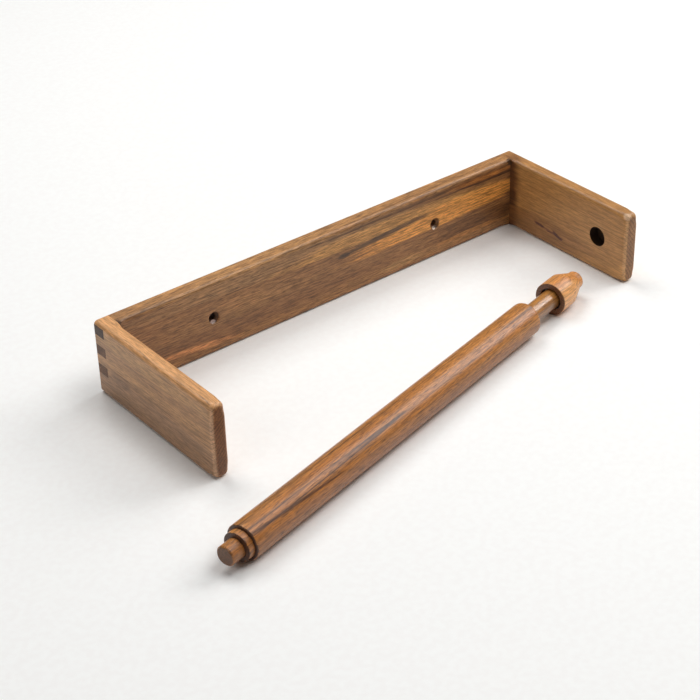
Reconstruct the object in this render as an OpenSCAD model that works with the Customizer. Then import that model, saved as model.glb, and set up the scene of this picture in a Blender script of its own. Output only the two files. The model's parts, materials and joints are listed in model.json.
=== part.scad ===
// Wall-mounted wooden paper roll holder with a loose sprung roller.
// The frame stands on its lower edges and the roller lies in front of it.
// +X runs along the board, +Y into the wall, +Z up; the origin is the middle of the
// board's back face, halfway between its two screw holes.

/* [Frame] */
// Clear width between the two arms
roll_gap = 300; // [240:1:380]
// Depth from the wall to the front of the arms
arm_reach = 113; // [80:1:160]
// Height of the board and arms
frame_h = 47.5; // [40:0.5:70]
// Thickness of the board and arms
stock_t = 9.5; // [8:0.5:14]
// Radius of the rounded edges
edge_r = 2.6; // [1:0.1:3.5]
// Radius at which the rounding sweeps past an inside corner
turn_r = 6.2; // [5:0.1:12]

/* [Corner joint] */
// Height of each joint finger and of the gap between two fingers
finger_h = 6.35; // [4:0.05:6.5]
// Number of fingers on each end of the board
finger_count = 3; // [2:1:3]
// Thin tongue of the arm above the top finger
top_tongue_h = 1.75; // [1:0.05:3]

/* [Wall screws] */
// Distance between the two screw holes
screw_spacing = 171; // [100:1:200]
// Radius of each screw hole
screw_hole_r = 2.2; // [1.5:0.1:3]
// Radius of each countersink at the face of the board
sink_r = 4.1; // [3.5:0.1:5]
// Depth of each countersink
sink_depth = 2.2; // [1:0.1:3.5]

/* [Arm sockets] */
// Radius of the blind hole in each arm
socket_r = 6.4; // [6:0.1:8]
// Depth of the blind hole in each arm
socket_depth = 7; // [4:0.5:7]
// Distance from the middle of the hole to the front of the arm
socket_setback = 24.5; // [15:0.5:40]

/* [Barrel] */
// Length of the barrel between its two end faces
barrel_l = 260; // [200:1:320]
// Radius of the barrel
barrel_r = 10.4; // [10:0.1:14]
// Radius of the rounded edge at the barrel's mouth
mouth_edge_r = 2; // [0.5:0.1:2.4]
// Radius of the collar at the fixed end
collar_r = 8.5; // [7.5:0.1:9.5]
// Length of the collar
collar_l = 4.35; // [2:0.05:8]
// Radius of the fixed end pin
pin_r = 5.8; // [4:0.1:6]
// Length of the fixed end pin
pin_l = 9; // [5:0.5:12]
// Chamfer on the fixed end pin
pin_chamfer = 0.8; // [0.2:0.1:1.5]
// Radius of the spring chamber bored in the barrel
chamber_r = 7.4; // [7:0.1:8]

/* [Plunger] */
// Radius of the rod
rod_r = 5.95; // [4:0.05:6.2]
// Travel of the plunger
stroke = 25.4; // [15:0.1:35]
// Radial clearance of the rod in the guide bush
rod_clearance = 0.08; // [0.05:0.01:0.1]
// Length of the guide bush
bush_l = 22; // [12:1:40]
// Gap left at each end of the travel
stop_gap = 0.3; // [0.2:0.05:1]
// Radius of the end cap
cap_r = 10.4; // [10:0.1:14]
// Length of the cap's straight part
cap_body_l = 13.8; // [8:0.1:20]
// Length of the cap's cone
cap_cone_l = 10.6; // [5:0.1:16]
// Radius of the cone's small end
cone_end_r = 6.3; // [5.8:0.1:7]
// Radius of the tip pin
tip_r = 5.7; // [4:0.1:6]
// Length of the tip pin
tip_l = 5; // [3:0.1:7]
// Radius of the rounded edge of the tip pin
tip_edge_r = 1.6; // [0.4:0.1:2.5]
// Radius of the recess round the rod in the cap's back
recess_r = 7.3; // [6.5:0.1:8]
// Depth of that recess
recess_depth = 3; // [1:0.5:6]
// Depth to which the rod is glued in the cap, past the recess
socket_glue_l = 15; // [8:1:20]

/* [Spring and stop] */
// Radius of the spring to the middle of its wire
spring_r = 5.7; // [4.5:0.1:6.4]
// Radius of the spring's wire
wire_r = 0.6; // [0.4:0.05:0.8]
// Length of the spring with the plunger out
spring_l = 64; // [50:1:100]
// Number of turns, with one closed turn at each end
spring_turns = 15; // [8:1:20]
// Radius of the stop washer
washer_r = 6.9; // [6.3:0.1:7]
// Thickness of the stop washer
washer_t = 1.2; // [0.8:0.1:2]
// Radius of the stop screw's shank
shank_r = 1.75; // [1.2:0.05:2.5]
// Length of the shank inside the rod
shank_l = 15; // [8:1:25]
// Radius of the stop screw's head
head_r = 3.5; // [2.5:0.1:4]
// Height of the stop screw's head
head_h = 2.4; // [1.5:0.1:3]
// Radius of the driver hole in the screw's head
drive_r = 1.25; // [0.8:0.05:1.5]

/* [Layout] */
// Place of the barrel's fixed end face along the board
roller_x = -186.6; // [-260:0.1:-120]
// Place of the barrel's fixed end face in front of the wall
roller_y = -174.5; // [-260:0.1:-150]
// Turn of the roller away from the board's direction
roller_turn = 13.5; // [0:0.1:20]

/* [Hidden] */

eps = 0.5;                                // how far cutters stand past a face
round_fn = 64;
frame_l = roll_gap + 2 * stock_t;
finger_top = frame_h / 2 - top_tongue_h;  // top of the highest board finger
finger_pitch = 2 * finger_h;
socket_y = socket_setback - arm_reach;
axial_play = 0.1;                         // slack of the washer under the screw's head
bore_clearance = 0.08;                    // radial slack of the washer on the shank
spring_gap = 0.05;                        // slack at each end of the spring
drive_depth = 1.4;
inner_end_r = 0.8;                        // eased edge at the barrel's fixed end
cap_edge_r = 0.5;                         // eased edge at the cap's back

// Places along the roller's own axis, from the barrel's fixed end face
bush_x = barrel_l - bush_l;
rod_x = bush_x - stop_gap;
washer_x = rod_x - axial_play - washer_t;
head_x = washer_x - axial_play;
chamber_x = washer_x - spring_gap - spring_l - spring_gap;
cap_x = barrel_l + stroke + stop_gap;
rod_end_x = cap_x + recess_depth + socket_glue_l;

// ---- wood frame ----

// Rectangle from (x0, y0) to (x1, y1); round = [lower left, lower right, upper right, upper left]
module eased_rect(x0, y0, x1, y1, r, round) {
    corners = [[x0, y0, 1, 1], [x1, y0, -1, 1], [x1, y1, -1, -1], [x0, y1, 1, -1]];
    difference() {
        translate([x0, y0]) square([x1 - x0, y1 - y0]);
        for (i = [0:3]) if (round[i])
            translate([corners[i][0], corners[i][1]])
                corner_waste(corners[i][2], corners[i][3], r);
    }
}

// What a rounded corner takes off a square one, for the quadrant towards (sx, sy)
module corner_waste(sx, sy, r) {
    difference() {
        translate([sx > 0 ? -eps : -r, sy > 0 ? -eps : -r]) square(r + eps);
        translate([sx * r, sy * r]) circle(r, $fn = round_fn);
    }
}

// The long board between the outer faces of the arms, its front edges rounded
module board_blank() {
    intersection() {
        rotate([90, 0, 90]) linear_extrude(frame_l, center = true)
            eased_rect(-stock_t, -frame_h / 2, 0, frame_h / 2, edge_r, [1, 0, 0, 1]);
        rotate([90, 0, 0]) linear_extrude(2 * stock_t + 2 * eps, center = true)
            eased_rect(-frame_l / 2, -frame_h / 2, frame_l / 2, frame_h / 2, edge_r, [1, 1, 1, 1]);
    }
}

// The right-hand arm, from the wall to its rounded front end
module arm_blank() {
    x0 = roll_gap / 2;
    x1 = frame_l / 2;
    intersection() {
        rotate([90, 0, 0]) linear_extrude(arm_reach)
            eased_rect(x0, -frame_h / 2, x1, frame_h / 2, edge_r, [1, 1, 1, 1]);
        rotate([90, 0, 90]) linear_extrude(x1 + eps)
            eased_rect(-arm_reach, -frame_h / 2, 0, frame_h / 2, edge_r, [1, 0, 0, 1]);
        linear_extrude(2 * frame_h, center = true)
            eased_rect(x0, -arm_reach, x1, 0, edge_r, [1, 1, 0, 0]);
    }
}

// The right-hand inside corner, where the edge rounding turns in an arc and leaves the corner full
module corner_blank() {
    x0 = roll_gap / 2;
    difference() {
        translate([x0 - turn_r, -stock_t - turn_r, -frame_h / 2])
            cube([turn_r + edge_r, turn_r + edge_r, frame_h]);
        translate([x0 - turn_r - eps, -stock_t - turn_r - eps, -frame_h])
            cube([turn_r + eps, turn_r + eps, 2 * frame_h]);
        for (side = [-1, 1]) translate([x0 - turn_r, -stock_t - turn_r, side * frame_h / 2])
            rotate_extrude($fn = round_fn) translate([turn_r, 0]) corner_waste(1, -side, edge_r);
    }
}

module frame_blank() {
    board_blank();
    for (side = [0, 1]) mirror([side, 0, 0]) {
        arm_blank();
        corner_blank();
    }
}

// Space that the board's fingers take in the right-hand corner
module finger_space() {
    for (i = [0:finger_count - 1])
        translate([roll_gap / 2, -stock_t, finger_top - finger_h - i * finger_pitch])
            cube([stock_t + eps, stock_t + eps, finger_h]);
}

// Space of the right-hand arm, before the fingers are cut out of it
module arm_space() {
    translate([roll_gap / 2, -arm_reach - eps, -frame_h])
        cube([stock_t + eps, arm_reach + 2 * eps, 2 * frame_h]);
}

module screw_hole() {
    rotate([90, 0, 0]) translate([0, 0, -eps])
        cylinder(r = screw_hole_r, h = stock_t + 2 * eps, $fn = round_fn);
    rotate([90, 0, 0]) translate([0, 0, stock_t - sink_depth])
        cylinder(r1 = screw_hole_r, r2 = sink_r, h = sink_depth, $fn = round_fn);
}

module back_board() {
    color([0.55, 0.37, 0.22]) difference() {
        frame_blank();
        difference() {
            arm_space();
            finger_space();
        }
        mirror([1, 0, 0]) difference() {
            arm_space();
            finger_space();
        }
        for (side = [-1, 1]) translate([side * screw_spacing / 2, 0, 0]) screw_hole();
    }
}

module arm() {
    difference() {
        intersection() {
            frame_blank();
            arm_space();
        }
        finger_space();
        translate([roll_gap / 2 - eps, socket_y, 0]) rotate([0, 90, 0])
            cylinder(r = socket_r, h = socket_depth + eps, $fn = round_fn);
    }
}

module right_arm() {
    color([0.66, 0.47, 0.29]) arm();
}

module left_arm() {
    color([0.60, 0.46, 0.34]) mirror([1, 0, 0]) arm();
}

// ---- roller ----

// Carries a shape drawn along +X to where the roller lies on the floor
module on_roller() {
    translate([roller_x, roller_y, barrel_r - frame_h / 2]) rotate([0, 0, roller_turn]) children();
}

// A disc of radius r from x0 to x1 with its edges rounded by r0 at x0 and r1 at x1
module eased_rod(x0, x1, r, r0, r1) {
    rotate([0, 90, 0]) rotate_extrude($fn = round_fn) difference() {
        translate([0, x0]) square([r, x1 - x0]);
        if (r0 > 0) translate([r, x0]) corner_waste(-1, 1, r0);
        if (r1 > 0) translate([r, x1]) corner_waste(-1, -1, r1);
    }
}

module bore(x0, x1, r) {
    translate([x0, 0, 0]) rotate([0, 90, 0]) cylinder(r = r, h = x1 - x0, $fn = round_fn);
}

module barrel() {
    color([0.74, 0.53, 0.33]) on_roller() difference() {
        union() {
            eased_rod(0, barrel_l, barrel_r, inner_end_r, mouth_edge_r);
            bore(-collar_l, eps, collar_r);
            bore(-collar_l - pin_l + pin_chamfer, 0, pin_r);
            translate([-collar_l - pin_l, 0, 0]) rotate([0, 90, 0])
                cylinder(r1 = pin_r - pin_chamfer, r2 = pin_r, h = pin_chamfer, $fn = round_fn);
        }
        bore(chamber_x, barrel_l + eps, chamber_r);
    }
}

module guide_bush() {
    color([0.60, 0.40, 0.24]) on_roller() difference() {
        bore(bush_x, barrel_l, chamber_r);
        bore(bush_x - eps, barrel_l + eps, rod_r + rod_clearance);
    }
}

module plunger_rod() {
    color([0.74, 0.52, 0.29]) on_roller() difference() {
        bore(rod_x, rod_end_x, rod_r);
        bore(rod_x - eps, rod_x + shank_l, shank_r);
    }
}

module end_cap() {
    cone_x = cap_x + cap_body_l;
    tip_x = cone_x + cap_cone_l;
    color([0.78, 0.55, 0.34]) on_roller() difference() {
        union() {
            eased_rod(cap_x, cone_x, cap_r, cap_edge_r, 0);
            translate([cone_x, 0, 0]) rotate([0, 90, 0])
                cylinder(r1 = cap_r, r2 = cone_end_r, h = cap_cone_l, $fn = round_fn);
            eased_rod(tip_x - eps, tip_x + tip_l, tip_r, 0, tip_edge_r);
        }
        bore(cap_x - eps, cap_x + recess_depth, recess_r);
        bore(cap_x, rod_end_x, rod_r);
    }
}

module stop_washer() {
    color([0.72, 0.72, 0.74]) on_roller() difference() {
        bore(washer_x, washer_x + washer_t, washer_r);
        bore(washer_x - eps, washer_x + washer_t + eps, shank_r + bore_clearance);
    }
}

module stop_screw() {
    color([0.75, 0.75, 0.77]) on_roller() difference() {
        union() {
            bore(head_x - head_h, head_x, head_r);
            bore(head_x - eps, rod_x + shank_l, shank_r);
        }
        translate([head_x - head_h - eps, 0, 0]) rotate([0, 90, 0])
            cylinder(r = drive_r, h = drive_depth + eps, $fn = 6);
    }
}

// ---- spring: a wire swept along a helix with one closed turn at each end ----

wire_sides = 8;
steps_per_turn = 20;
ring_count = spring_turns * steps_per_turn;
closed_pitch = 2.1 * wire_r;
open_pitch = (spring_l - 2 * wire_r - 2 * closed_pitch) / (spring_turns - 2);

// Distance of the wire's middle along the spring after t turns
function wire_x(t) = wire_r + (t < 1 ? t * closed_pitch
    : t < spring_turns - 1 ? closed_pitch + (t - 1) * open_pitch
    : closed_pitch + (spring_turns - 2) * open_pitch + (t - spring_turns + 1) * closed_pitch);

function wire_point(t, a) = let (r = spring_r + wire_r * cos(a))
    [wire_x(t) + wire_r * sin(a), r * cos(360 * t), r * sin(360 * t)];

module helix_wire() {
    points = [for (i = [0:ring_count]) for (j = [0:wire_sides - 1])
        wire_point(i / steps_per_turn, 360 * j / wire_sides)];
    sides = [for (i = [0:ring_count - 1]) for (j = [0:wire_sides - 1])
        let (a = i * wire_sides, b = a + wire_sides, k = (j + 1) % wire_sides) [a + j, b + j, b + k, a + k]];
    first_end = [for (j = [0:wire_sides - 1]) j];
    last_end = [for (j = [wire_sides - 1:-1:0]) ring_count * wire_sides + j];
    polyhedron(points, concat(sides, [first_end, last_end]), convexity = 10);
}

module spring() {
    color([0.70, 0.71, 0.73]) on_roller() translate([chamber_x + spring_gap, 0, 0]) helix_wire();
}

back_board();
left_arm();
right_arm();
barrel();
guide_bush();
spring();
stop_washer();
plunger_rod();
end_cap();
stop_screw();
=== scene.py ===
import json
import math
import bmesh
import bpy
from mathutils import Matrix, Vector


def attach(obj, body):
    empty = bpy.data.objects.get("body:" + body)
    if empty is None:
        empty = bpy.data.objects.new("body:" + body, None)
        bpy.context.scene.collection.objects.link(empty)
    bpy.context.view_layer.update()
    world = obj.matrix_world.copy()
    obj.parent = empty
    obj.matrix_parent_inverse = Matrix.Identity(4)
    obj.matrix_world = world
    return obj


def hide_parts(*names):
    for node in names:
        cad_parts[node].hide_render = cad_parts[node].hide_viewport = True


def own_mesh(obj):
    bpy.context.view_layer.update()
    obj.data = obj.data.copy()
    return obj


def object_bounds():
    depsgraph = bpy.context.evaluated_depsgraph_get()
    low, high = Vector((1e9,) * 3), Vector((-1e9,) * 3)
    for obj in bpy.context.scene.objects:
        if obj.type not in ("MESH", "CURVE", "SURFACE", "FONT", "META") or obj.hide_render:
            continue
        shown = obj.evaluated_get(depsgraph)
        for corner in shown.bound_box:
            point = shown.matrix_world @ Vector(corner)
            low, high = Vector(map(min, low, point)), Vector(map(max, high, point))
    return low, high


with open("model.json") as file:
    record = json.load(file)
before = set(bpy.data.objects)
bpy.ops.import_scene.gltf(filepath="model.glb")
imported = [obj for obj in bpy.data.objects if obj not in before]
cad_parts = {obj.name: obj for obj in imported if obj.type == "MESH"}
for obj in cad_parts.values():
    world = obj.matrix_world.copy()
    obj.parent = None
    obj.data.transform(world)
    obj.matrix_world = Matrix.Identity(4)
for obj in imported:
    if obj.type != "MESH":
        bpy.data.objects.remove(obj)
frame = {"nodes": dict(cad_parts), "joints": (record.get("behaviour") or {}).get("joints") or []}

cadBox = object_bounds()
print("frame loaded,", len(frame["nodes"]), "pieces")

# the roller lies turned in front of the frame: its own axis and fixed end come from its hinge
spinJoint = next(j for j in frame["joints"] if j["name"] == "roller_spin")
rollerStart = Vector(spinJoint["pos_m"])
rollerAxis = Vector(spinJoint["axis"]).normalized()
rollerTurn = math.atan2(rollerAxis.y, rollerAxis.x)
rollerMatrix = Matrix.Translation(rollerStart) @ Matrix.Rotation(rollerTurn, 4, "Z")


# short ways to add nodes to a material's tree or a shape's

def addNode(tree, kind, inputs=None, **settings):
    node = tree.nodes.new(kind)
    for name, value in settings.items():
        setattr(node, name, value)
    for socket, value in (inputs or {}).items():
        if isinstance(value, bpy.types.NodeSocket):
            tree.links.new(value, node.inputs[socket])
        else:
            node.inputs[socket].default_value = value
    return node


def calc(tree, operation, *values):
    return addNode(tree, "ShaderNodeMath", dict(enumerate(values)), operation=operation).outputs[0]


def vectorCalc(tree, operation, *values):
    node = addNode(tree, "ShaderNodeVectorMath", dict(enumerate(values)), operation=operation)
    return node.outputs["Value" if operation in ("DOT_PRODUCT", "LENGTH") else "Vector"]


def fade(tree, value, low, high, toLow=0.0, toHigh=1.0):
    node = addNode(tree, "ShaderNodeMapRange", {"Value": value, "From Min": low, "From Max": high,
                   "To Min": toLow, "To Max": toHigh}, interpolation_type="SMOOTHSTEP")
    return node.outputs[0]


def mixColor(tree, share, first, second):
    node = addNode(tree, "ShaderNodeMix", {0: share, 6: first, 7: second}, data_type="RGBA")
    return node.outputs[2]


def noise(tree, vector, stretch, detail=2.0, roughness=0.5, color=False):
    scaled = vectorCalc(tree, "MULTIPLY", vector, stretch)
    node = addNode(tree, "ShaderNodeTexNoise", {"Vector": scaled, "Scale": 1.0, "Detail": detail,
                   "Roughness": roughness}, noise_dimensions="3D")
    return node.outputs[1 if color else 0]


def startMaterial(name):
    material = bpy.data.materials.new(name)
    material.use_nodes = True
    tree = material.node_tree
    tree.nodes.clear()
    return material, tree


def finishMaterial(tree, inputs):
    shader = addNode(tree, "ShaderNodeBsdfPrincipled", inputs)
    addNode(tree, "ShaderNodeOutputMaterial", {"Surface": shader.outputs[0]})


def rgb(red, green, blue):  # a colour as a paint chart gives it, made linear
    chart = [c / 255 for c in (red, green, blue)]
    return (*[c / 12.92 if c < 0.04045 else ((c + 0.055) / 1.055) ** 2.4 for c in chart], 1.0)


# teak: growth rings, streaks, pores and placed marks, all solid through the wood; some placed marks, the bore
# patches and a ring in the cap's recess are painted light and shade

markSettings = {"lean": 0.0, "tear": (14.0, 330.0, 330.0), "ragged": 1.8, "soft": 0.3}
darkRingSettings = {"tear": (240.0, 300.0, 300.0), "outerEdge": 1.3, "innerEdge": 0.6, "rim": 0.0002}
boreShadeSettings = {"blur": 0.0006, "outerRim": 0.0003, "innerRim": 0.0001}


def addMark(tree, color, plain, shifted, mark):
    # one placed mark as a ragged long blot: wood figure this piece has, and in some lists a painted highlight
    # or painted shade
    local = vectorCalc(tree, "SUBTRACT", plain, mark["at"])
    side = addNode(tree, "ShaderNodeSeparateXYZ", {0: local}).outputs
    leaned = calc(tree, "MULTIPLY_ADD", side["X"], -mark["lean"], side["Z"])
    local = addNode(tree, "ShaderNodeCombineXYZ", {"X": side["X"], "Y": side["Y"], "Z": leaned}).outputs[0]
    reach = vectorCalc(tree, "LENGTH", vectorCalc(tree, "DIVIDE", local, mark["reach"]))
    tear = noise(tree, shifted, mark["tear"], detail=4.0, roughness=0.65)
    reach = calc(tree, "MULTIPLY_ADD", calc(tree, "SUBTRACT", tear, 0.5), mark["ragged"], reach)
    share = fade(tree, reach, 1.0 + mark["soft"], 1.0 - mark["soft"], 0.0, mark["share"])
    return mixColor(tree, share, color, mark["color"])


def addDarkRing(tree, color, along, fromAxis, shifted, darkBand):
    # a dark ring round the axis at one place along it, out to a given radius
    away = calc(tree, "ABSOLUTE", calc(tree, "SUBTRACT", along, darkBand["at"]))
    tear = noise(tree, shifted, darkRingSettings["tear"], detail=4.0, roughness=0.65)
    away = calc(tree, "MULTIPLY_ADD", calc(tree, "SUBTRACT", tear, 0.5), darkBand["creep"], away)
    outer = darkBand["width"] * darkRingSettings["outerEdge"]
    inner = darkBand["width"] * darkRingSettings["innerEdge"]
    share = fade(tree, away, outer, inner, 0.0, darkBand["share"])
    within = fade(tree, fromAxis, darkBand["outTo"] + darkRingSettings["rim"], darkBand["outTo"])
    return mixColor(tree, calc(tree, "MULTIPLY", share, within), color, darkBand["color"])


def addBoreShade(tree, color, own, bore):
    # painted shade inside a hole drilled across the grain, along y
    blur = boreShadeSettings["blur"]
    low, high = bore["between"]
    awayX = calc(tree, "SUBTRACT", own["X"], bore["at"])
    away = addNode(tree, "ShaderNodeCombineXYZ", {"X": awayX, "Z": own["Z"]}).outputs[0]
    away = vectorCalc(tree, "LENGTH", away)
    depth = calc(tree, "ABSOLUTE", own["Y"])
    inside = calc(tree, "MULTIPLY", fade(tree, depth, low, low + blur), fade(tree, depth, high, high - blur))
    outer = bore["radius"] + boreShadeSettings["outerRim"]
    inner = bore["radius"] + boreShadeSettings["innerRim"]
    inside = calc(tree, "MULTIPLY", inside, fade(tree, away, outer, inner))
    return mixColor(tree, calc(tree, "MULTIPLY", inside, bore["share"]), color, bore["color"])


def makeWood(name, look):
    material, tree = startMaterial(name)
    coords = addNode(tree, "ShaderNodeTexCoord")
    place = addNode(tree, "ShaderNodeMapping", {"Vector": coords.outputs["Object"], "Location": look["start"],
                    "Rotation": look["turn"]}, vector_type="TEXTURE")
    plain = place.outputs[0]  # x runs along the grain
    own = addNode(tree, "ShaderNodeSeparateXYZ", {0: plain}).outputs
    shifted = vectorCalc(tree, "ADD", plain, look["shift"])
    sway = noise(tree, shifted, look["swayStretch"], color=True)
    sway = vectorCalc(tree, "SUBTRACT", sway, (0.5, 0.5, 0.5))
    grain = vectorCalc(tree, "ADD", shifted, vectorCalc(tree, "MULTIPLY", sway, look["sway"]))

    # rings round a pith line that leans a little from the grain
    fromPith = vectorCalc(tree, "SUBTRACT", vectorCalc(tree, "SUBTRACT", grain, look["shift"]), look["pith"])
    parts = addNode(tree, "ShaderNodeSeparateXYZ", {0: fromPith}).outputs
    acrossY = calc(tree, "MULTIPLY_ADD", parts["X"], look["lean"][0], parts["Y"])
    acrossZ = calc(tree, "MULTIPLY_ADD", parts["X"], look["lean"][1], parts["Z"])
    across = addNode(tree, "ShaderNodeCombineXYZ", {"Y": acrossY, "Z": acrossZ}).outputs[0]
    ringPlace = calc(tree, "DIVIDE", vectorCalc(tree, "LENGTH", across), look["ringWidth"])
    jitter = noise(tree, grain, look["jitterStretch"])
    ringPlace = calc(tree, "MULTIPLY_ADD", jitter, look["ringJitter"], ringPlace)
    phase = calc(tree, "FRACT", calc(tree, "ADD", ringPlace, look["ringStart"]))
    earlyPeak = look["earlyWidth"] * look["earlyRise"]
    early = calc(tree, "MULTIPLY", fade(tree, phase, 0.0, earlyPeak),
                 fade(tree, phase, look["earlyWidth"], earlyPeak))
    ringWeight = fade(tree, noise(tree, grain, look["patchStretch"]), *look["patchBand"])
    ringLine = calc(tree, "MULTIPLY", early, ringWeight)

    broad = noise(tree, grain, look["broadStretch"], detail=3.0, roughness=0.55)
    broad = fade(tree, broad, *look["broadBand"])
    streak = noise(tree, grain, look["streakStretch"], detail=4.0, roughness=0.68)
    streak = fade(tree, streak, *look["streakBand"])
    thread = noise(tree, grain, look["threadStretch"], detail=3.0, roughness=0.7)
    thread = fade(tree, thread, *look["threadBand"], -1.0, 1.0)
    pore = noise(tree, grain, look["poreStretch"], detail=1.0)
    pore = fade(tree, pore, *look["poreBand"])
    mottle = noise(tree, shifted, look["mottleStretch"], detail=3.0, roughness=0.6)
    mottle = fade(tree, mottle, *look["mottleBand"], -1.0, 1.0)

    color = mixColor(tree, broad, look["body"], look["light"])
    # placed marks: wood figure, painted highlights and painted shade
    for mark in look["marks"]:
        color = addMark(tree, color, plain, shifted, mark)
    # painted shade inside holes
    for bore in look["boreShades"]:
        color = addBoreShade(tree, color, own, bore)
    for chip in look["chips"]:
        color = addMark(tree, color, plain, shifted, chip)
    color = mixColor(tree, calc(tree, "MULTIPLY", streak, look["streakShare"]), color, look["deep"])
    color = mixColor(tree, calc(tree, "MULTIPLY", ringLine, look["ringShare"]), color, look["line"])
    color = mixColor(tree, calc(tree, "MULTIPLY", pore, look["poreShare"]), color, look["line"])
    glow = calc(tree, "MULTIPLY_ADD", thread, look["threadShare"], 1.0)
    glow = calc(tree, "MULTIPLY_ADD", mottle, look["mottleShare"], glow)
    color = addNode(tree, "ShaderNodeVectorMath", {0: color, "Scale": glow}, operation="SCALE").outputs[0]

    # end grain drinks more oil
    facing = calc(tree, "ABSOLUTE", vectorCalc(tree, "DOT_PRODUCT", coords.outputs["Normal"], look["along"]))
    endShare = fade(tree, facing, *look["endFacing"])
    color = mixColor(tree, endShare, color, vectorCalc(tree, "MULTIPLY", color, look["endTint"]))
    endLine = calc(tree, "MULTIPLY", calc(tree, "MULTIPLY", early, endShare), look["endRingShare"])
    color = mixColor(tree, endLine, color, look["line"])
    fromAxis = addNode(tree, "ShaderNodeCombineXYZ", {"Y": own["Y"], "Z": own["Z"]}).outputs[0]
    fromAxis = vectorCalc(tree, "LENGTH", fromAxis)
    for darkBand in look["darkRings"]:
        color = addDarkRing(tree, color, own["X"], fromAxis, shifted, darkBand)

    rough = calc(tree, "ADD", streak, pore)
    rough = calc(tree, "MULTIPLY_ADD", rough, look["poreRoughness"], look["roughness"])
    rough = calc(tree, "MULTIPLY_ADD", endShare, look["endRoughness"], rough)
    height = calc(tree, "MULTIPLY_ADD", pore, -1.0, calc(tree, "MULTIPLY", thread, look["threadHeight"]))
    height = calc(tree, "MULTIPLY_ADD", early, look["ringHeight"], height)
    bump = addNode(tree, "ShaderNodeBump", {"Strength": look["bumpStrength"], "Distance": look["bumpDepth"],
                   "Height": height}).outputs[0]
    finishMaterial(tree, {"Base Color": color, "Roughness": rough, "Normal": bump, "IOR": look["refraction"],
                          "Coat Weight": look["coat"], "Coat Roughness": look["coatRoughness"],
                          "Coat IOR": look["coatRefraction"]})
    return material


teak = {
    # the piece's own frame, with x along its grain, and the direction of the grain in the shared frame
    "start": (0.0, 0.0, 0.0), "turn": (0.0, 0.0, 0.0), "along": (1.0, 0.0, 0.0),
    # rings
    "swayStretch": (5.0, 24.0, 24.0), "sway": (0.0, 0.006, 0.006), "pith": (0.0, 0.03, -0.12),
    "lean": (0.02, 0.02), "ringWidth": 0.0019, "ringStart": 0.0, "ringJitter": 1.2,
    "jitterStretch": (3.0, 90.0, 90.0), "earlyWidth": 0.45, "earlyRise": 0.25,
    "patchStretch": (9.0, 170.0, 170.0), "patchBand": (0.42, 0.64),
    # how far each pattern of the grain stretches, and between which values it fades in
    "broadStretch": (2.6, 62.0, 62.0), "broadBand": (0.36, 0.64),
    "streakStretch": (10.0, 420.0, 420.0), "streakBand": (0.5, 0.72),
    "threadStretch": (120.0, 1300.0, 1300.0), "threadBand": (0.3, 0.7),
    "poreStretch": (180.0, 2100.0, 2100.0), "poreBand": (0.58, 0.7),
    "mottleStretch": (60.0, 110.0, 110.0), "mottleBand": (0.3, 0.7),
    # how much each one darkens or lightens the wood
    "deep": rgb(92, 60, 34), "line": rgb(58, 36, 22), "streakShare": 0.5, "ringShare": 0.35,
    "threadShare": 0.3, "poreShare": 0.45, "mottleShare": 0.05,
    "endFacing": (0.72, 0.99), "endTint": (0.55, 0.46, 0.42), "endRingShare": 0.4,
    # surface and finish
    "roughness": 0.46, "poreRoughness": 0.07, "endRoughness": 0.12, "bumpStrength": 0.5, "bumpDepth": 0.00012,
    "threadHeight": 0.3, "ringHeight": -0.25, "refraction": 1.46, "coat": 0.2, "coatRoughness": 0.24,
    "coatRefraction": 1.5,
    "marks": [], "boreShades": [], "chips": [], "darkRings": [],
}


# one placed mark: wood figure, or a patch of painted highlight or painted shade
def figureAndPaintedLight(at, reach, color, share, **more):
    # where its middle lies in the piece's own frame and how far it reaches each way, in metres
    return {**markSettings, "at": at, "reach": reach, "color": rgb(*color), "share": share, **more}


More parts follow.
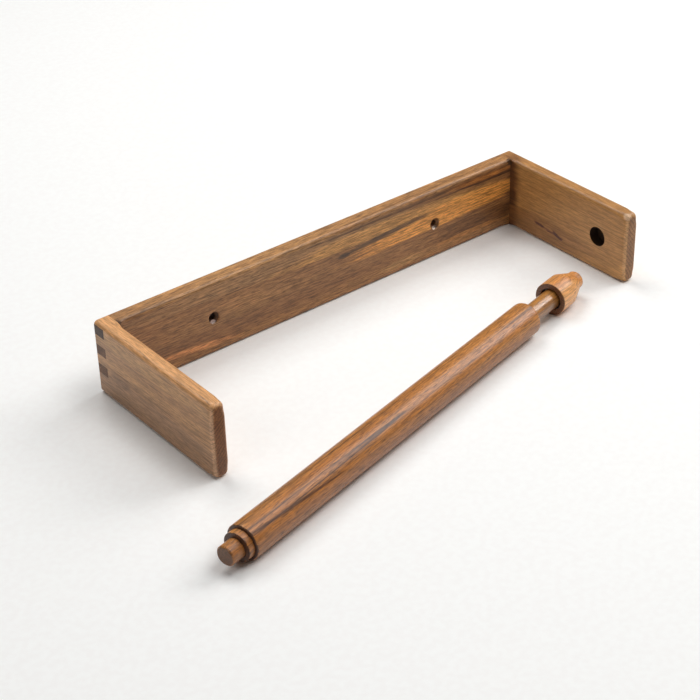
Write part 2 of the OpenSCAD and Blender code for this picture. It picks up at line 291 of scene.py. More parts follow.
boardLook = {
    **teak, "shift": (1.3, 0.4, 0.7), "body": rgb(143, 97, 56), "light": rgb(175, 124, 72),
    "threadShare": 0.46, "streakShare": 0.38,
    # painted shade inside the two countersunk screw holes
    "boreShades": [{"at": side * 0.0855, "radius": 0.0041, "between": (0.001, 0.0093), "share": 0.8,
               "color": rgb(46, 28, 17)} for side in (-1, 1)],
    "marks": [
        figureAndPaintedLight((-0.05, -0.005, 0.018), (0.11, 0.02, 0.006), (186, 142, 92), 0.5),
        figureAndPaintedLight((0.045, -0.0095, 0.0125), (0.075, 0.01, 0.004), (214, 156, 84), 0.7),
        figureAndPaintedLight((0.1, -0.0095, 0.004), (0.07, 0.01, 0.0065), (246, 168, 80), 0.88, lean=0.035),
        figureAndPaintedLight((0.128, -0.0095, -0.0105), (0.045, 0.01, 0.006), (112, 73, 38), 0.7, lean=0.03),
        figureAndPaintedLight((0.045, -0.0095, 0.0074), (0.036, 0.01, 0.0017), (88, 66, 44), 0.8, lean=0.05),
        figureAndPaintedLight((-0.125, -0.0095, -0.004), (0.06, 0.01, 0.018), (128, 86, 50), 0.4),
        figureAndPaintedLight((0.012, -0.0095, 0.0048), (0.004, 0.01, 0.0018), (76, 56, 40), 0.8),
        figureAndPaintedLight((0.132, -0.0095, 0.0162), (0.028, 0.01, 0.001), (64, 38, 20), 0.85, lean=-0.03),
        figureAndPaintedLight((0.07, -0.0095, 0.0197), (0.085, 0.01, 0.0009), (92, 60, 32), 0.7),
        figureAndPaintedLight((0.06, -0.0095, -0.0175), (0.016, 0.01, 0.0022), (196, 150, 92), 0.5),
        figureAndPaintedLight((0.113, -0.0095, -0.0162), (0.024, 0.01, 0.0016), (206, 140, 72), 0.6),
        figureAndPaintedLight((-0.1, -0.0095, -0.0155), (0.024, 0.01, 0.0022), (226, 152, 92), 0.75, lean=-0.08),
        # painted highlight: a lighter strip along the top rounded edge
        figureAndPaintedLight((0.0, -0.003, 0.0245), (0.2, 0.02, 0.0024), (200, 148, 94), 0.45),
        figureAndPaintedLight((-0.1605, -0.005, 0.0188), (0.004, 0.01, 0.0036), (72, 46, 30), 0.8),
        # painted shade in the two inner top corners where board and arms meet
        *[figureAndPaintedLight((side * 0.1498, -0.0092, 0.0222), (0.0024, 0.002, 0.0026), (50, 30, 16), 0.75)
          for side in (1, -1)],
        figureAndPaintedLight((0.125, -0.0095, 0.0188), (0.03, 0.01, 0.0016), (206, 126, 52), 0.5),
    ],
    "chips": [  # chipped finish at the lower rims of the screw holes
        figureAndPaintedLight((-0.086, -0.0086, -0.0028), (0.0018, 0.002, 0.0009), (224, 190, 176), 0.8, ragged=0.8),
        figureAndPaintedLight((-0.0862, -0.008, 0.0002), (0.0005, 0.002, 0.0018), (200, 170, 158), 0.6, ragged=0.5),
        figureAndPaintedLight((0.0848, -0.0088, -0.0031), (0.0013, 0.002, 0.0008), (250, 230, 206), 0.9, ragged=0.8),
        figureAndPaintedLight((0.0852, -0.008, -0.0008), (0.0018, 0.0035, 0.0018), (158, 116, 96), 0.6, ragged=0.8),
    ],
}

# painted shade deep in each arm's socket
socketShade = {"at": -0.0885, "radius": 0.0064, "between": (0.1499, 0.1582), "share": 0.95,
              "color": rgb(27, 15, 7)}
armTurn = {"turn": (0.0, 0.0, math.pi / 2), "along": (0.0, 1.0, 0.0), "boreShades": [socketShade]}
leftArmLook = {
    **teak, **armTurn, "shift": (2.1, 1.7, 0.2), "body": rgb(178, 131, 88), "light": rgb(196, 146, 98),
    "streakShare": 0.26, "poreShare": 0.25, "endTint": (0.49, 0.35, 0.23),
    "marks": [
        # painted reflection: a greyish sheen of the pale floor on the lower outer face
        figureAndPaintedLight((-0.05, 0.1595, -0.014), (0.085, 0.01, 0.012), (146, 112, 90), 0.5),
        figureAndPaintedLight((-0.024, 0.1595, -0.005), (0.01, 0.01, 0.004), (112, 80, 62), 0.3),
        figureAndPaintedLight((-0.05, 0.1595, 0.016), (0.08, 0.01, 0.004), (206, 158, 104), 0.4),
        # painted highlight: a lighter strip along the top
        figureAndPaintedLight((-0.055, 0.154, 0.0245), (0.1, 0.02, 0.003), (226, 166, 108), 0.7),
        # painted highlights on the two rounded front edges
        figureAndPaintedLight((-0.1122, 0.1588, 0.0), (0.0018, 0.0018, 0.026), (216, 170, 132), 0.6, ragged=0.8),
        figureAndPaintedLight((-0.1122, 0.1508, 0.0), (0.0018, 0.0018, 0.026), (196, 146, 112), 0.5, ragged=0.8),
    ],
}

cornerShadeTear = (60.0, 120.0, 120.0)
knotTear = (90.0, 500.0, 500.0)
rightArmLook = {
    **teak, **armTurn, "shift": (0.6, 2.9, 1.4), "body": rgb(186, 134, 76), "light": rgb(208, 154, 90),
    "streakShare": 0.25, "ringShare": 0.25, "threadShare": 0.24, "poreShare": 0.25,
    "endTint": (0.56, 0.5, 0.54),
    "marks": [
        # painted shade: a dark band down the inner corner against the board
        figureAndPaintedLight((-0.0095, -0.15, 0.0), (0.0068, 0.01, 0.06), (82, 40, 10), 0.92, soft=0.6, ragged=1.2,
                 tear=cornerShadeTear),
        figureAndPaintedLight((-0.04, -0.15, -0.015), (0.05, 0.01, 0.009), (142, 94, 50), 0.65),
        figureAndPaintedLight((-0.1, -0.15, -0.012), (0.03, 0.01, 0.014), (206, 152, 94), 0.3),
        figureAndPaintedLight((-0.039, -0.15, -0.0127), (0.0064, 0.01, 0.0009), (70, 32, 30), 0.85, lean=0.12, ragged=3.4,
                 tear=knotTear),
        figureAndPaintedLight((-0.054, -0.15, -0.0141), (0.0042, 0.01, 0.001), (70, 32, 30), 0.85, lean=0.35, ragged=3.4,
                 tear=knotTear),
        figureAndPaintedLight((-0.046, -0.15, -0.0133), (0.012, 0.01, 0.0007), (92, 50, 36), 0.65, lean=0.1, ragged=2.6,
                 tear=knotTear),
        # painted shade in the top inner corner
        figureAndPaintedLight((-0.0092, -0.1498, 0.0222), (0.002, 0.0024, 0.0026), (50, 30, 16), 0.75),
        figureAndPaintedLight((-0.055, -0.1548, 0.0246), (0.12, 0.02, 0.0022), (166, 116, 68), 0.5),
        # painted highlights: the rounded front edge and the front-top corner
        figureAndPaintedLight((-0.1122, -0.1508, 0.0), (0.0018, 0.0018, 0.026), (222, 172, 120), 0.5, ragged=0.8),
        figureAndPaintedLight((-0.1115, -0.1516, 0.0226), (0.003, 0.0024, 0.0024), (250, 214, 178), 0.55, ragged=0.8),
    ],
}

rollerPlace = {"start": tuple(rollerStart), "turn": (0.0, 0.0, rollerTurn), "along": tuple(rollerAxis)}
darkRingColor = rgb(52, 30, 18)


def darkRing(at, width, creep, share, color=darkRingColor, outTo=0.02):
    return {"at": at, "width": width, "creep": creep, "share": share, "color": color, "outTo": outTo}


# the barrel's rings lie flat under one side of it, which draws long pointed arches there
archAngle = math.radians(56)
archSide = (-math.cos(archAngle), math.sin(archAngle))
archSettings = {"pithAway": 0.06, "lean": 0.0023}
barrelLook = {
    **teak, **rollerPlace, "shift": (3.1, 0.3, 2.2), "body": rgb(170, 106, 48), "light": rgb(190, 127, 64),
    "sway": (0.0, 0.0012, 0.0012), "pith": (0.0, *[-archSettings["pithAway"] * c for c in archSide]),
    "lean": tuple(-archSettings["lean"] * c for c in archSide), "ringWidth": 0.0026, "ringStart": 0.97,
    "ringJitter": 0.06, "earlyWidth": 0.07, "patchBand": (0.25, 0.5), "ringShare": 0.85, "streakShare": 0.75,
    "threadShare": 0.36, "poreShare": 0.6, "roughness": 0.41, "coat": 0.32, "coatRoughness": 0.22,
    "marks": [
        # painted shade along the barrel's lower front side
        figureAndPaintedLight((0.13, -0.0104, -0.0014), (0.2, 0.004, 0.0042), (132, 76, 30), 0.6, soft=0.6),
        figureAndPaintedLight((0.032, -0.0077, 0.0069), (0.045, 0.003, 0.0006), (70, 36, 18), 0.75, lean=-0.048,
                 ragged=0.9),
    ],
    # dark rings at the two shoulders of the stepped end and round the pin's end
    "darkRings": [
        darkRing(0.0, 0.0004, 0.0028, 0.8),
        darkRing(-0.00435, 0.0004, 0.0032, 0.75),
        darkRing(-0.01335, 0.0004, 0.00056, 0.5, color=rgb(70, 54, 34)),
    ],
}
capLook = {
    **teak, **rollerPlace, "shift": (0.2, 3.3, 1.2), "body": rgb(211, 139, 73), "light": rgb(225, 156, 91),
    "streakShare": 0.35, "roughness": 0.42, "coat": 0.35, "coatRoughness": 0.26,
    # painted light on the cap's front side
    "marks": [figureAndPaintedLight((0.296, -0.0104, 0.003), (0.024, 0.006, 0.009), (246, 184, 116), 0.5)],
    "darkRings": [
        # a dark ring at the cap's back edge
        darkRing(0.2857, 0.00035, 0.00049, 0.55),
        # painted shade in the cap's recess round the rod
        darkRing(0.2887, 0.002, 0.0028, 0.9, outTo=0.0074),
    ],
}
bushLook = {
    **teak, **rollerPlace, "shift": (1.2, 0.3, 3.2), "body": rgb(150, 100, 60), "light": rgb(170, 120, 76),
}
rodLook = {
    **teak, **rollerPlace, "shift": (2.2, 2.3, 0.2), "body": rgb(180, 120, 56), "light": rgb(202, 144, 76),
    "roughness": 0.32, "bumpStrength": 1.0, "coat": 0.8, "coatRoughness": 0.17,
    # painted shade along the rod's lower side
    "marks": [figureAndPaintedLight((0.275, -0.0058, -0.0012), (0.05, 0.003, 0.0028), (112, 70, 32), 0.65, soft=0.6)],
}

boardWood = makeWood("oiledTeakBoard", boardLook)
leftArmWood = makeWood("oiledTeakLeftArm", leftArmLook)
rightArmWood = makeWood("oiledTeakRightArm", rightArmLook)
barrelWood = makeWood("turnedTeakBarrel", barrelLook)
capWood = makeWood("turnedTeakCap", capLook)
bushWood = makeWood("turnedTeakBush", bushLook)
rodWood = makeWood("varnishedDowel", rodLook)
print("wood finishes made")


# metal of the spring, washer and screw

def makeSteel(name, look):
    material, tree = startMaterial(name)
    coords = addNode(tree, "ShaderNodeTexCoord").outputs["Object"]
    place = addNode(tree, "ShaderNodeMapping", {"Vector": coords, "Location": rollerPlace["start"],
                    "Rotation": rollerPlace["turn"]}, vector_type="TEXTURE").outputs[0]
    scratch = noise(tree, place, look["scratchStretch"], detail=3.0, roughness=0.6)
    stain = noise(tree, place, look["stainStretch"])
    color = mixColor(tree, fade(tree, stain, *look["stainBand"]), look["color"], look["dull"])
    smoothest = look["roughness"] - look["roughnessSpread"]
    roughest = look["roughness"] + look["roughnessSpread"]
    rough = fade(tree, scratch, *look["scratchBand"], smoothest, roughest)
    bump = addNode(tree, "ShaderNodeBump", {"Strength": look["bumpStrength"], "Distance": look["bumpDepth"],
                   "Height": scratch}).outputs[0]
    finishMaterial(tree, {"Base Color": color, "Metallic": 1.0, "Roughness": rough, "Normal": bump})
    return material


steel = {"stainStretch": (180.0, 180.0, 180.0), "stainBand": (0.35, 0.65), "scratchBand": (0.3, 0.7),
         "roughnessSpread": 0.08, "bumpStrength": 0.25, "bumpDepth": 0.00003}
springLook = {**steel, "color": rgb(196, 198, 202), "dull": rgb(150, 150, 154), "roughness": 0.26,
              "scratchStretch": (900.0, 4000.0, 4000.0)}
platedLook = {**steel, "color": rgb(204, 204, 208), "dull": rgb(168, 168, 176), "roughness": 0.34,
              "scratchStretch": (2500.0, 2500.0, 2500.0)}
springSteel = makeSteel("springSteel", springLook)
platedSteel = makeSteel("platedSteel", platedLook)


# board and arms: the sawn shapes with every sharp arris eased

weldDistance = 1e-6
arrisSettings = {"width": 0.00015, "steps": 2, "sharpFrom": 40.0}


def addPiece(name, mesh, body, slot, *nodes):
    piece = bpy.data.objects.new(name, mesh)
    bpy.context.scene.collection.objects.link(piece)
    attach(piece, body)
    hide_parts(*nodes)
    return piece


def bakeMesh(source):
    depsgraph = bpy.context.evaluated_depsgraph_get()
    mesh = bpy.data.meshes.new_from_object(source.evaluated_get(depsgraph))
    bpy.data.objects.remove(source)
    return mesh


def mergedCopy(node):
    shape = bmesh.new()
    source = frame["nodes"][node].data
    points = [shape.verts.new(v.co) for v in source.vertices]
    shape.verts.ensure_lookup_table()
    for face in source.polygons:
        shape.faces.new([points[i] for i in face.vertices])
    bmesh.ops.remove_doubles(shape, verts=shape.verts, dist=weldDistance)
    mesh = bpy.data.meshes.new(node + "Copy")
    shape.to_mesh(mesh)
    shape.free()
    return mesh


cornerSettings = {"edgeRadius": 0.0026, "cornerRadius": 0.0038, "fade": 0.006, "steps": 6, "slack": 1e-5,
                  "inner": 0.15, "outer": 0.1595, "front": -0.113, "height": 0.02375}


def cutRows(shape, axis, places, nearerThan):
    normal = Vector(1.0 if i == axis else 0.0 for i in range(3))
    for place in places:
        faces = [f for f in shape.faces if max(v.co.y for v in f.verts) < nearerThan]
        parts = {*faces, *(e for f in faces for e in f.edges), *(v for f in faces for v in f.verts)}
        bmesh.ops.bisect_plane(shape, geom=list(parts), dist=weldDistance, plane_co=normal * place,
                               plane_no=normal)


def roundCorners(mesh, s):
    # each arm's four front corners are sanded rounder than the edges that meet there
    shape = bmesh.new()
    shape.from_mesh(mesh)
    radius, edge = s["cornerRadius"], s["edgeRadius"]
    quarterTurn = math.pi / 2
    near = [radius * (1 - math.sin(quarterTurn * i / s["steps"])) for i in range(s["steps"])]
    far = [radius + s["fade"] * i / s["steps"] for i in range(1, s["steps"] + 1)]
    hand = math.copysign(1.0, mesh.vertices[0].co.x)
    reached = s["front"] + far[-1] + s["slack"]
    cutRows(shape, 1, [s["front"] + d for d in near + far], math.inf)
    cutRows(shape, 0, [hand * x for d in near for x in (s["inner"] + d, s["outer"] - d)], reached)
    cutRows(shape, 2, [up * (s["height"] - d) for d in near + far for up in (-1, 1)], reached)
    for vertex in shape.verts:
        x, y, z = abs(vertex.co.x), vertex.co.y, abs(vertex.co.z)
        depths = (min(x - s["inner"], s["outer"] - x), y - s["front"], s["height"] - z)
        if depths[1] > far[-1]:
            continue
        faded = min(max((max(depths) - radius) / s["fade"], 0.0), 1.0)
        here = radius + (edge - radius) * faded * faded * (3 - 2 * faded)
        over = [max(here - d, 0.0) for d in depths]
        length = math.hypot(*over)
        if length > here and sorted(over)[1] > 0.0:
            inX, inY, inZ = (o - o * here / length for o in over)
            outward = 1.0 if s["outer"] - x < x - s["inner"] else -1.0
            vertex.co = (hand * (x - outward * inX), y + inY, math.copysign(z - inZ, vertex.co.z))
    shape.to_mesh(mesh)
    shape.free()


def makePlank(name, node, wood, slot, corners=None):
    draft = bpy.data.objects.new(name + "Draft", mergedCopy(node))
    if corners:
        roundCorners(draft.data, corners)
    bpy.context.scene.collection.objects.link(draft)
    draft.data.materials.append(wood)
    draft.data.shade_smooth()
    draft.data.set_sharp_from_angle(angle=math.radians(arrisSettings["sharpFrom"]))
    ease = draft.modifiers.new("ease", "BEVEL")
    ease.width = arrisSettings["width"]
    ease.segments = arrisSettings["steps"]
    ease.limit_method = "ANGLE"
    ease.angle_limit = math.radians(arrisSettings["sharpFrom"])
    ease.harden_normals = True
    weigh = draft.modifiers.new("weigh", "WEIGHTED_NORMAL")
    weigh.keep_sharp = True
    return addPiece(name, bakeMesh(draft), "frame", slot, node)


makePlank("backBoard", "back_board", boardWood, "board_wood")
makePlank("leftArm", "left_arm", leftArmWood, "arm_wood", cornerSettings)
makePlank("rightArm", "right_arm", rightArmWood, "arm_wood", cornerSettings)
print("board and arms made")


# turned pieces: one geometry tree sweeps a profile round the roller's axis

turningSettings = {"stepsRound": 128, "longestStep": 0.0025, "arcSteps": 8, "sharpFrom": 0.6,
                   "wearStretch": 40.0, "wearScale": 1.1}


def treeInput(tree, name, kind):
    tree.interface.new_socket(name, in_out="INPUT", socket_type="NodeSocket" + kind)


def setInputs(modifier, values):
    for item in modifier.node_group.interface.items_tree:
        if item.item_type == "SOCKET" and item.in_out == "INPUT" and item.name in values:
            modifier[item.identifier] = values[item.name]


def makeTurningTree():
    tree = bpy.data.node_groups.new("turning", "GeometryNodeTree")
    treeInput(tree, "Profile", "Geometry")
    treeInput(tree, "Steps Round", "Int")
    for name in ("Unevenness", "Seed", "Sharp From"):
        treeInput(tree, name, "Float")
    for name, kind in (("Place", "Vector"), ("Turn", "Vector"), ("Finish", "Material")):
        treeInput(tree, name, kind)
    tree.interface.new_socket("Shape", in_out="OUTPUT", socket_type="NodeSocketGeometry")
    given = addNode(tree, "NodeGroupInput").outputs
    size = addNode(tree, "GeometryNodeAttributeDomainSize", {0: given["Profile"]}, component="MESH").outputs
    rows = size["Point Count"]
    columns = calc(tree, "ADD", given["Steps Round"], 1.0)
    grid = addNode(tree, "GeometryNodeMeshGrid", {"Vertices X": columns, "Vertices Y": rows}).outputs[0]
    # the grid's points run along one column after another; the quarter keeps whole numbers from rounding down
    index = addNode(tree, "GeometryNodeInputIndex").outputs[0]
    column = calc(tree, "FLOOR", calc(tree, "DIVIDE", calc(tree, "ADD", index, 0.25), rows))
    row = calc(tree, "SUBTRACT", index, calc(tree, "MULTIPLY", column, rows))
    position = addNode(tree, "GeometryNodeInputPosition").outputs[0]
    picked = addNode(tree, "GeometryNodeSampleIndex", {"Geometry": given["Profile"], "Index": row},
                     data_type="FLOAT_VECTOR", domain="POINT")
    tree.links.new(position, next(s for s in picked.inputs if s.name == "Value" and s.enabled))
    along = addNode(tree, "ShaderNodeSeparateXYZ", {0: next(s for s in picked.outputs if s.enabled)}).outputs
    angle = calc(tree, "MULTIPLY", column, calc(tree, "DIVIDE", 2 * math.pi, given["Steps Round"]))
    cosine, sine = calc(tree, "COSINE", angle), calc(tree, "SINE", angle)
    stretched = calc(tree, "MULTIPLY", along["X"], turningSettings["wearStretch"])
    where = addNode(tree, "ShaderNodeCombineXYZ", {"X": stretched, "Y": cosine, "Z": sine}).outputs[0]
    worn = addNode(tree, "ShaderNodeTexNoise", {
        "Vector": where, "W": given["Seed"], "Scale": turningSettings["wearScale"], "Detail": 2.0},
        noise_dimensions="4D").outputs[0]
    deepest = calc(tree, "MULTIPLY", given["Unevenness"], along["Y"])
    radius = calc(tree, "SUBTRACT", along["Y"], calc(tree, "MULTIPLY", worn, deepest))
    placed = addNode(tree, "ShaderNodeCombineXYZ", {
        "X": along["X"], "Y": calc(tree, "MULTIPLY", radius, cosine),
        "Z": calc(tree, "MULTIPLY", radius, sine)}).outputs[0]
    swept = addNode(tree, "GeometryNodeSetPosition", {"Geometry": grid, "Position": placed}).outputs[0]
    closed = addNode(tree, "GeometryNodeMergeByDistance", {
        "Geometry": swept, "Distance": weldDistance}).outputs[0]
    smooth = addNode(tree, "GeometryNodeSetShadeSmooth", {"Geometry": closed, "Shade Smooth": True},
                     domain="FACE").outputs[0]
    edgeAngle = addNode(tree, "GeometryNodeInputMeshEdgeAngle").outputs[0]
    sharp = calc(tree, "GREATER_THAN", edgeAngle, given["Sharp From"])
    crisp = addNode(tree, "GeometryNodeSetShadeSmooth", {"Geometry": smooth, "Selection": sharp,
                    "Shade Smooth": False}, domain="EDGE").outputs[0]
    moved = addNode(tree, "GeometryNodeTransform", {"Geometry": crisp, "Translation": given["Place"],
                    "Rotation": given["Turn"]}).outputs[0]
    real = addNode(tree, "GeometryNodeRealizeInstances", {0: moved}).outputs[0]
    finished = addNode(tree, "GeometryNodeSetMaterial", {
        "Geometry": real, "Material": given["Finish"]}).outputs[0]
    addNode(tree, "NodeGroupOutput", {0: finished})
    return tree


turningTree = makeTurningTree()


def arc(x, r, size, start, stop):
    # points on a quarter round about (x, r), from the angle start to stop in degrees
    steps = turningSettings["arcSteps"]
    angles = [math.radians(start + (stop - start) * i / steps) for i in range(steps + 1)]
    return [(x + size * math.cos(a), r + size * math.sin(a)) for a in angles]


def closePoints(profile):
    points = [profile[0]]
    for x, r in profile[1:]:
        lastX, lastR = points[-1]
        alongX, alongR = x - lastX, r - lastR
        count = max(1, math.ceil(math.hypot(alongX, alongR) / turningSettings["longestStep"]))
        points += [(lastX + alongX * i / count, lastR + alongR * i / count) for i in range(1, count + 1)]
    return points


def makeTurned(name, profile, wood, body, slot, node, unevenness=0.0, seed=1.0):
    points = closePoints(profile)
    mesh = bpy.data.meshes.new(name + "Profile")
    mesh.from_pydata([(x, r, 0.0) for x, r in points], [(i, i + 1) for i in range(len(points) - 1)], [])
    draft = bpy.data.objects.new(name + "Draft", mesh)
    bpy.context.scene.collection.objects.link(draft)
    turning = draft.modifiers.new("turning", "NODES")
    turning.node_group = turningTree
    setInputs(turning, {"Steps Round": turningSettings["stepsRound"], "Unevenness": unevenness, "Seed": seed,
                        "Place": tuple(rollerStart), "Turn": (0.0, 0.0, rollerTurn),
                        "Sharp From": turningSettings["sharpFrom"], "Finish": wood})
    return addPiece(name, bakeMesh(draft), body, slot, node)


barrelSettings = {"length": 0.260, "radius": 0.0104, "mouthEdge": 0.002, "endEdge": 0.0008,
                  "collarRadius": 0.0085, "collarLength": 0.00435, "ease": 0.0002, "pinRadius": 0.0058,
                  "pinLength": 0.009, "pinChamfer": 0.0008, "chamberRadius": 0.0074, "chamberStart": 0.1723}


def barrelProfile(s):
    pinEnd = -s["collarLength"] - s["pinLength"]
    ease = s["ease"]
    points = [(pinEnd, 0.0), (pinEnd, s["pinRadius"] - s["pinChamfer"])]
    points += [(pinEnd + s["pinChamfer"], s["pinRadius"]), (-s["collarLength"], s["pinRadius"])]
    points += arc(-s["collarLength"] + ease, s["collarRadius"] - ease, ease, 180, 90)
    points += [(0.0, s["collarRadius"])]
    points += arc(s["endEdge"], s["radius"] - s["endEdge"], s["endEdge"], 180, 90)
    points += arc(s["length"] - s["mouthEdge"], s["radius"] - s["mouthEdge"], s["mouthEdge"], 90, 0)
    points += [(s["length"], s["chamberRadius"]), (s["chamberStart"], s["chamberRadius"])]
    points += [(s["chamberStart"], 0.0)]
    return points


makeTurned("barrel", barrelProfile(barrelSettings), barrelWood, "roller", "roller_wood", "barrel",
           unevenness=0.006, seed=3.0)

bushSettings = {"start": 0.238, "end": barrelSettings["length"], "outer": barrelSettings["chamberRadius"],
                "inner": 0.00603}


def bushProfile(s):
    return [(s["start"], s["inner"]), (s["start"], s["outer"]), (s["end"], s["outer"]),
            (s["end"], s["inner"]), (s["start"], s["inner"])]


makeTurned("guideBush", bushProfile(bushSettings), bushWood, "roller", "bush_wood", "guide_bush")

rodSettings = {"start": 0.2377, "end": 0.3037, "radius": 0.00595, "pilotRadius": 0.00175,
               "pilotEnd": 0.2527}


def rodProfile(s):
    return [(s["pilotEnd"], 0.0), (s["pilotEnd"], s["pilotRadius"]), (s["start"], s["pilotRadius"]),
            (s["start"], s["radius"]), (s["end"], s["radius"]), (s["end"], 0.0)]


makeTurned("plungerRod", rodProfile(rodSettings), rodWood, "plunger", "varnished_dowel", "plunger_rod")

capSettings = {"start": 0.2857, "bodyLength": 0.0138, "coneLength": 0.0106, "tipLength": 0.005,
               "radius": 0.0104, "backEdge": 0.0005, "coneEndRadius": 0.0063, "tipRadius": 0.0057,
               "tipEdge": 0.0016, "recessRadius": 0.0073, "recessDepth": 0.003,
               "rodRadius": rodSettings["radius"], "rodEnd": rodSettings["end"]}


def capProfile(s):
    recessEnd = s["start"] + s["recessDepth"]
    coneStart = s["start"] + s["bodyLength"]
    tipStart = coneStart + s["coneLength"]
    tipEnd = tipStart + s["tipLength"]
    points = [(s["rodEnd"], 0.0), (s["rodEnd"], s["rodRadius"]), (recessEnd, s["rodRadius"]),
              (recessEnd, s["recessRadius"]), (s["start"], s["recessRadius"])]
    points += arc(s["start"] + s["backEdge"], s["radius"] - s["backEdge"], s["backEdge"], 180, 90)
    points += [(coneStart, s["radius"]), (tipStart, s["coneEndRadius"]), (tipStart, s["tipRadius"])]
    points += arc(tipEnd - s["tipEdge"], s["tipRadius"] - s["tipEdge"], s["tipEdge"], 90, 0)
    points += [(tipEnd, 0.0)]
    return points


makeTurned("endCap", capProfile(capSettings), capWood, "plunger", "cap_wood", "end_cap",
           unevenness=0.004, seed=8.0)
print("turned pieces made")


# spring: wire swept along a coil whose end turns are closed

springSettings = {"Turns": 15.0, "Steps Per Turn": 32.0, "Steps Round Wire": 12, "Coil Radius": 0.0057,
                  "Wire Radius": 0.0006, "Length": 0.064, "Closed Pitch": 0.00126, "start": 0.17235,
                  "travel": 0.0254}


def makeCoilTree():
    tree = bpy.data.node_groups.new("coil", "GeometryNodeTree")
    for name in ("Turns", "Steps Per Turn", "Coil Radius", "Wire Radius", "Length", "Closed Pitch"):
        treeInput(tree, name, "Float")
    treeInput(tree, "Steps Round Wire", "Int")
    for name, kind in (("Place", "Vector"), ("Turn", "Vector"), ("Finish", "Material")):
        treeInput(tree, name, kind)
    tree.interface.new_socket("Shape", in_out="OUTPUT", socket_type="NodeSocketGeometry")
    given = addNode(tree, "NodeGroupInput").outputs
    wire, closed = given["Wire Radius"], given["Closed Pitch"]
    count = calc(tree, "MULTIPLY_ADD", given["Turns"], given["Steps Per Turn"], 1.0)
    line = addNode(tree, "GeometryNodeMeshLine", {"Count": count}).outputs[0]
    turns = calc(tree, "DIVIDE", addNode(tree, "GeometryNodeInputIndex").outputs[0], given["Steps Per Turn"])
    openTurns = calc(tree, "SUBTRACT", given["Turns"], 2.0)  # between one closed turn at each end
    closedEnds = calc(tree, "MULTIPLY", calc(tree, "ADD", wire, closed), 2.0)
    openPitch = calc(tree, "DIVIDE", calc(tree, "SUBTRACT", given["Length"], closedEnds), openTurns)
    firstTurn = calc(tree, "MINIMUM", turns, 1.0)
    afterFirst = calc(tree, "SUBTRACT", turns, 1.0)
    midTurns = calc(tree, "MAXIMUM", calc(tree, "MINIMUM", afterFirst, openTurns), 0.0)
    lastTurn = calc(tree, "MAXIMUM", calc(tree, "SUBTRACT", afterFirst, openTurns), 0.0)
    climb = calc(tree, "MULTIPLY_ADD", calc(tree, "ADD", firstTurn, lastTurn), closed, wire)
    climb = calc(tree, "MULTIPLY_ADD", midTurns, openPitch, climb)
    angle = calc(tree, "MULTIPLY", turns, 2 * math.pi)
    point = addNode(tree, "ShaderNodeCombineXYZ", {
        "X": climb, "Y": calc(tree, "MULTIPLY", given["Coil Radius"], calc(tree, "COSINE", angle)),
        "Z": calc(tree, "MULTIPLY", given["Coil Radius"], calc(tree, "SINE", angle))}).outputs[0]
    bent = addNode(tree, "GeometryNodeSetPosition", {"Geometry": line, "Position": point}).outputs[0]
    path = addNode(tree, "GeometryNodeMeshToCurve", {0: bent}).outputs[0]
    section = addNode(tree, "GeometryNodeCurvePrimitiveCircle", {
        "Resolution": given["Steps Round Wire"], "Radius": wire}).outputs[0]
    swept = addNode(tree, "GeometryNodeCurveToMesh", {"Curve": path, "Profile Curve": section,
                    "Fill Caps": True}).outputs[0]
    moved = addNode(tree, "GeometryNodeTransform", {"Geometry": swept, "Translation": given["Place"],
                    "Rotation": given["Turn"]}).outputs[0]
    real = addNode(tree, "GeometryNodeRealizeInstances", {0: moved}).outputs[0]
    finished = addNode(tree, "GeometryNodeSetMaterial", {
        "Geometry": real, "Material": given["Finish"]}).outputs[0]
    addNode(tree, "NodeGroupOutput", {0: finished})
    return tree


def makeSpring(s):
    draft = bpy.data.objects.new("springDraft", bpy.data.meshes.new("springDraft"))
    bpy.context.scene.collection.objects.link(draft)
    coil = draft.modifiers.new("coil", "NODES")
    coil.node_group = makeCoilTree()
    fixedEnd = rollerMatrix @ Vector((s["start"], 0.0, 0.0))
    setInputs(coil, {**s, "Place": tuple(fixedEnd), "Turn": (0.0, 0.0, rollerTurn), "Finish": springSteel})
    spring = addPiece("spring", bakeMesh(draft), "roller", "spring_steel", "spring")
    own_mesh(spring)


makeSpring(springSettings)
for node in ("stop_washer", "stop_screw"):
    frame["nodes"][node].data.materials.clear()
    frame["nodes"][node].data.materials.append(platedSteel)
print("spring, washer and screw made")


# floor, light and camera

floorSettings = {"size": 8.0, "squares": 8, "color": rgb(246, 245, 243), "light": rgb(248, 248, 246),
                 "toothStretch": (260.0, 260.0, 260.0), "toothBand": (0.3, 0.7), "roughness": 0.9,
                 "shine": 0.2}
skySettings = {"strength": 0.04, "color": (1.0, 1.0, 1.0, 1.0)}
lampSettings = {"aim": (0.0, -0.09, 0.0), "distance": 1.8}
# soft lamps round the table: where each stands as seen from above, its height angle, size and power
lamps = {
    "backSoftbox": {"azimuth": 180, "elevation": 60, "size": 1.0, "power": 14.4},
    "rightSoftbox": {"azimuth": 270, "elevation": 35, "size": 1.0, "power": 11.5},
    "rightHighFill": {"azimuth": 270, "elevation": 60, "size": 0.9, "power": 5.0},
    "frontRightFill": {"azimuth": 325, "elevation": 66, "size": 0.9, "power": 9.8},
    "rightFrontStrip": {"azimuth": 288, "elevation": 33, "size": 0.5, "power": 4.0},
    "leftFill": {"azimuth": 80, "elevation": 35, "size": 0.9, "power": 4.0},
}


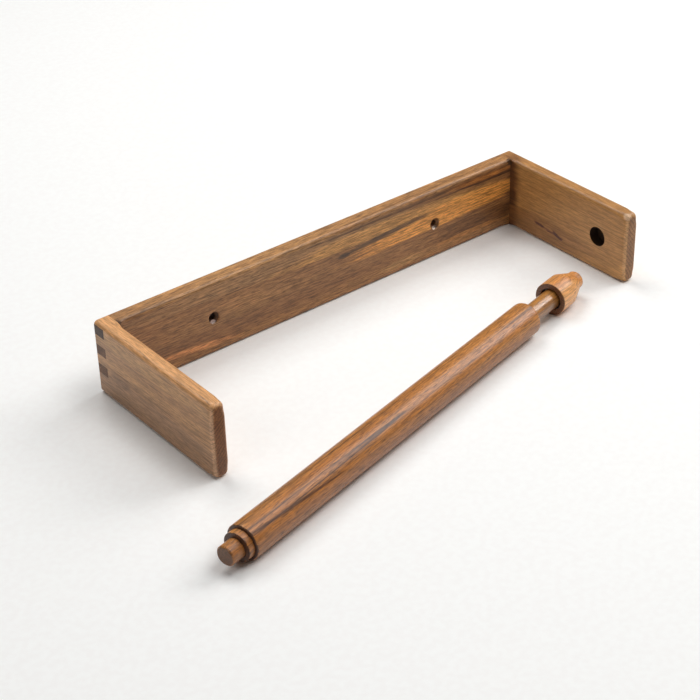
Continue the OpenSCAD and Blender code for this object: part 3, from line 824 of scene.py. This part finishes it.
def makeFloor(s):
    mesh = bpy.data.meshes.new("floor")
    shape = bmesh.new()
    bmesh.ops.create_grid(shape, x_segments=s["squares"], y_segments=s["squares"], size=s["size"] / 2)
    bmesh.ops.translate(shape, verts=shape.verts, vec=(0.0, 0.0, cadBox[0].z))
    shape.to_mesh(mesh)
    shape.free()
    floor = bpy.data.objects.new("floor", mesh)
    bpy.context.scene.collection.objects.link(floor)
    material, tree = startMaterial("palePaper")
    coords = addNode(tree, "ShaderNodeTexCoord").outputs["Object"]
    tooth = noise(tree, coords, s["toothStretch"])
    color = mixColor(tree, fade(tree, tooth, *s["toothBand"]), s["color"], s["light"])
    finishMaterial(tree, {"Base Color": color, "Roughness": s["roughness"], "Specular IOR Level": s["shine"]})
    mesh.materials.append(material)


def makeLamp(name, lamp):
    light = bpy.data.lights.new(name, "AREA")
    light.shape = "SQUARE"
    light.size = lamp["size"]
    light.energy = lamp["power"]
    around, up = math.radians(lamp["azimuth"]), math.radians(lamp["elevation"])
    outward = Vector((-math.sin(around) * math.cos(up), -math.cos(around) * math.cos(up), math.sin(up)))
    holder = bpy.data.objects.new(name, light)
    holder.location = Vector(lampSettings["aim"]) + outward * lampSettings["distance"]
    holder.rotation_euler = (-outward).to_track_quat("-Z", "Y").to_euler()
    bpy.context.scene.collection.objects.link(holder)


def makeSky(s):
    world = bpy.data.worlds.new("studio")
    world.use_nodes = True
    back = world.node_tree.nodes["Background"]
    back.inputs["Color"].default_value = s["color"]
    back.inputs["Strength"].default_value = s["strength"]
    bpy.context.scene.world = world


cameraSettings = {"place": (-0.5759, -0.7626, 0.5521), "azimuth": -38.083, "elevation": 32.806,
                  "roll": -1.677, "lens": 92.78, "nearest": 0.05}


def makeCamera(s):
    azimuth, elevation, roll = (math.radians(s[k]) for k in ("azimuth", "elevation", "roll"))
    back = Vector((math.sin(azimuth) * math.cos(elevation), -math.cos(azimuth) * math.cos(elevation),
                   math.sin(elevation)))
    right = (-back).cross(Vector((0.0, 0.0, 1.0))).normalized()
    up = right.cross(-back)
    lensRight = right * math.cos(roll) + up * math.sin(roll)
    lensUp = up * math.cos(roll) - right * math.sin(roll)
    lens = bpy.data.cameras.new("camera")
    lens.lens = s["lens"]
    lens.clip_start = s["nearest"]
    camera = bpy.data.objects.new("camera", lens)
    turned = Matrix((lensRight, lensUp, back)).transposed().to_4x4()
    camera.matrix_world = Matrix.Translation(s["place"]) @ turned
    bpy.context.scene.collection.objects.link(camera)
    bpy.context.scene.camera = camera


makeFloor(floorSettings)
for name, lamp in lamps.items():
    makeLamp(name, lamp)
makeSky(skySettings)
makeCamera(cameraSettings)
bpy.context.scene.view_settings.view_transform = "Standard"
print("floor, light and camera made")
